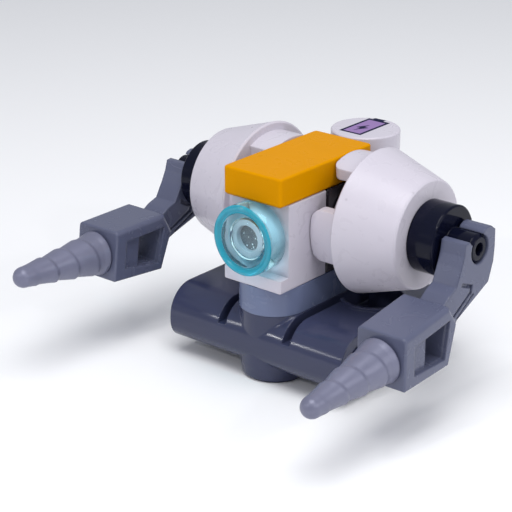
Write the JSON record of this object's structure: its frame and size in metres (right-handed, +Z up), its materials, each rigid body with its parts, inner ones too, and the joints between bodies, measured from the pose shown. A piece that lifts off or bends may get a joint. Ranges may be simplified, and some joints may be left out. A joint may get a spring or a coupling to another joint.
{
  "type": "toy robot with drill arms",
  "caption": "Small brick-built toy robot: a sled base, a one-eyed brick body, cone shoulders and swinging arms that carry spiral drills.",
  "frame": {"origin": "centre of the front foot's underside, where its hole opens", "axes": "+Z up, the face looks along -Y, +X towards the robot's left arm"},
  "size_m": [0.0444, 0.04, 0.025],
  "materials": {
    "dark_slate": "glossy, darker bluish grey",
    "slate": "glossy, dark bluish grey",
    "mid_grey": "glossy, medium bluish grey",
    "white": "glossy white",
    "dark_grey": "glossy, dark grey",
    "orange": "glossy, bright yellowish orange",
    "clear_blue": "transparent light blue plastic, polished",
    "black": "glossy black",
    "pearl_grey": "satin pearl grey"
  },
  "bodies": {
    "body": {"base_sled": "dark_slate", "round_end_plate": "mid_grey", "eye_brick": "white", "side_stud_brick": "dark_grey", "long_tile": "orange"},
    "round_brick": {"round_brick": "white"},
    "round_tile": {"round_tile": "white"},
    "eye_lens": {"eye_lens": "clear_blue"},
    "cone_left": {"cone_left": "white"},
    "hub_disc_left": {"hub_disc_left": "black"},
    "arm_left": {"arm_left": "slate"},
    "drill_left": {"drill_left": "pearl_grey"},
    "cone_right": {"cone_right": "white"},
    "hub_disc_right": {"hub_disc_right": "black"},
    "arm_right": {"arm_right": "slate"},
    "drill_right": {"drill_right": "pearl_grey"}
  },
  "joints": [
    {"name": "cone_spin_left", "type": "hinge", "parent": "body", "child": "cone_left", "pos_m": [0.008, 0.008, 0.017], "axis": [1, 0, 0], "continuous": true},
    {"name": "hub_spin_left", "type": "hinge", "parent": "cone_left", "child": "hub_disc_left", "pos_m": [0.0155, 0.008, 0.017], "axis": [1, 0, 0], "continuous": true},
    {"name": "arm_swing_left", "type": "hinge", "parent": "hub_disc_left", "child": "arm_left", "pos_m": [0.0192, 0.008, 0.017], "axis": [1, 0, 0], "continuous": true},
    {"name": "drill_spin_left", "type": "hinge", "parent": "arm_left", "child": "drill_left", "pos_m": [0.0192, -0.007, 0.0094], "axis": [0, -0.9968, -0.0802], "continuous": true},
    {"name": "cone_spin_right", "type": "hinge", "parent": "body", "child": "cone_right", "pos_m": [-0.008, 0.008, 0.017], "axis": [1, 0, 0], "continuous": true},
    {"name": "hub_spin_right", "type": "hinge", "parent": "cone_right", "child": "hub_disc_right", "pos_m": [-0.0155, 0.008, 0.017], "axis": [1, 0, 0], "continuous": true},
    {"name": "arm_swing_right", "type": "hinge", "parent": "hub_disc_right", "child": "arm_right", "pos_m": [-0.0192, 0.008, 0.017], "axis": [1, 0, 0], "continuous": true},
    {"name": "drill_spin_right", "type": "hinge", "parent": "arm_right", "child": "drill_right", "pos_m": [-0.0192, -0.00787, 0.01145], "axis": [0, -0.9986, 0.0523], "continuous": true},
    {"name": "eye_spin", "type": "hinge", "parent": "body", "child": "eye_lens", "pos_m": [0, -0.003, 0.01685], "axis": [0, 1, 0], "continuous": true},
    {"name": "round_brick_spin", "type": "hinge", "parent": "body", "child": "round_brick", "pos_m": [0, 0.016, 0.012], "axis": [0, 0, 1], "continuous": true},
    {"name": "round_tile_spin", "type": "hinge", "parent": "round_brick", "child": "round_tile", "pos_m": [0, 0.016, 0.022], "axis": [0, 0, 1], "continuous": true}
  ]
}
